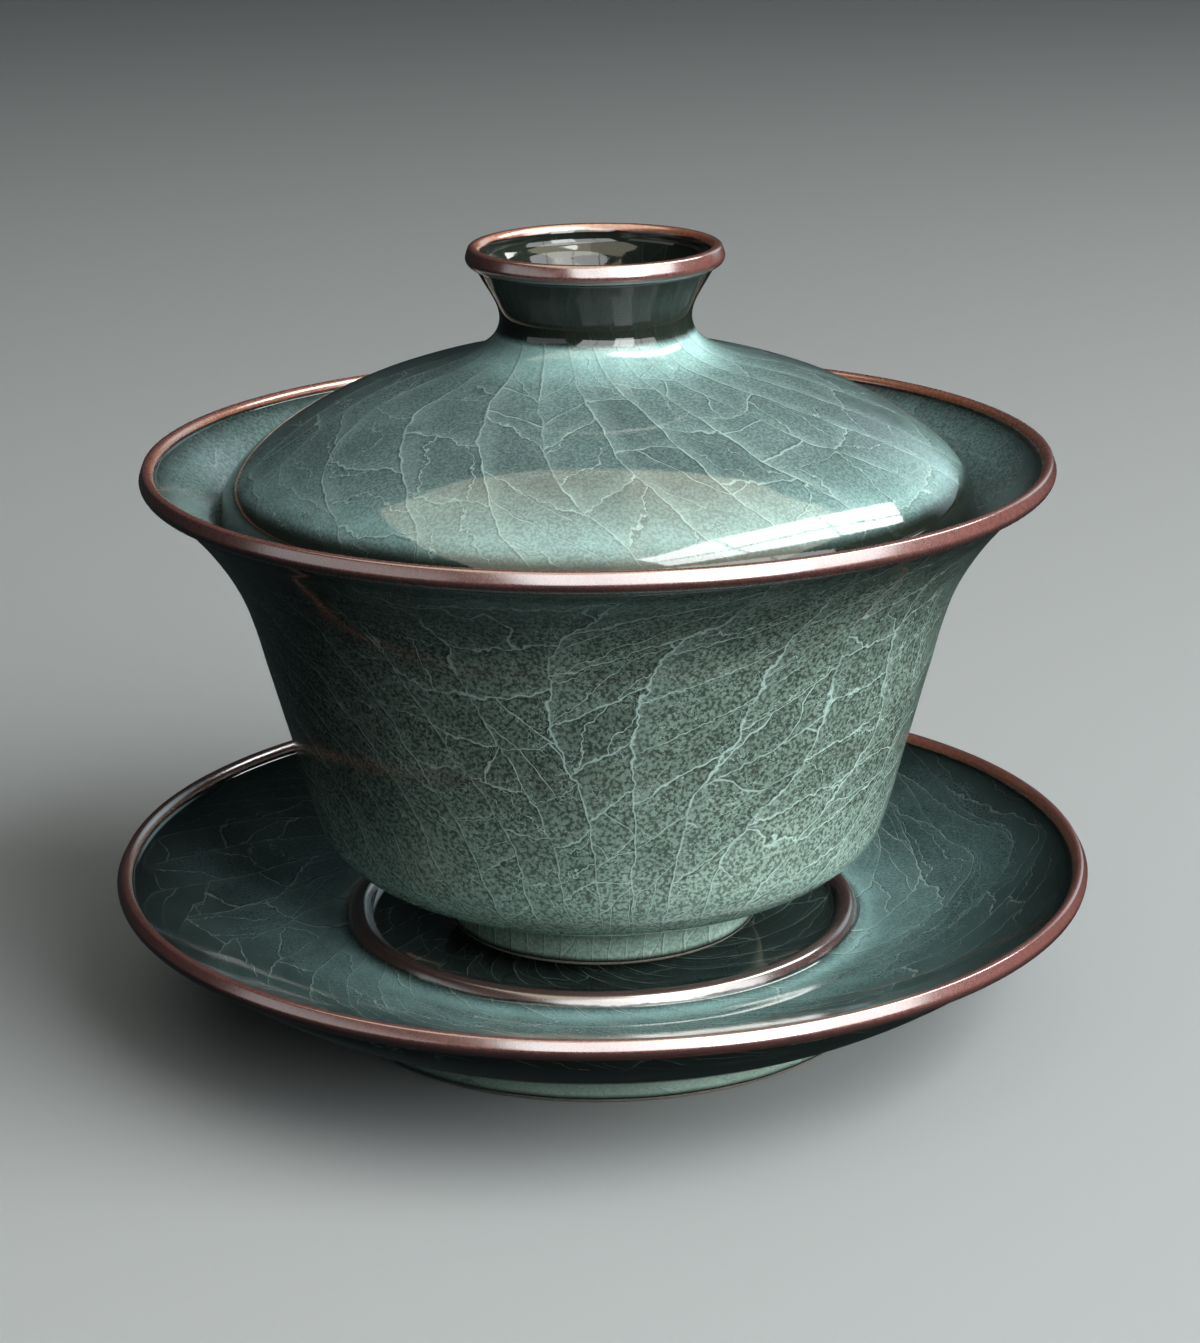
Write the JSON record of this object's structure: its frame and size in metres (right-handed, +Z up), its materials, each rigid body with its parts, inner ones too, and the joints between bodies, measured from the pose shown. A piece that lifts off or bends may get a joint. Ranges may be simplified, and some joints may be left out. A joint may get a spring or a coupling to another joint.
{
  "type": "gaiwan",
  "caption": "Covered tea bowl with a flared rim, a domed lid with a hollow knob, and a wide saucer with a well for the bowl's foot.",
  "frame": {"origin": "centre of the saucer's foot, on the surface it stands on", "axes": "+Z up along the common turning axis of saucer, bowl and lid; the pieces are round, so +X and +Y are free"},
  "size_m": [0.11, 0.11, 0.0868],
  "materials": {
    "saucer_glaze": "glossy dark teal crackle glaze with an iron-brown lip and a bare foot edge",
    "bowl_glaze": "glossy grey-green crackle glaze with an iron-brown lip and a bare foot edge",
    "lid_glaze": "glossy pale grey-green crackle glaze with iron-brown edges"
  },
  "bodies": {
    "saucer": {"saucer": "saucer_glaze"},
    "bowl": {"bowl": "bowl_glaze"},
    "lid": {"lid": "lid_glaze"}
  },
  "joints": [
    {"name": "bowl_lift", "type": "slide", "parent": "saucer", "child": "bowl", "axis": [0, 0, 1], "range_m": [0, 0.06]},
    {"name": "lid_lift", "type": "slide", "parent": "bowl", "child": "lid", "axis": [0, 0, 1], "range_m": [0, 0.06]}
  ]
}
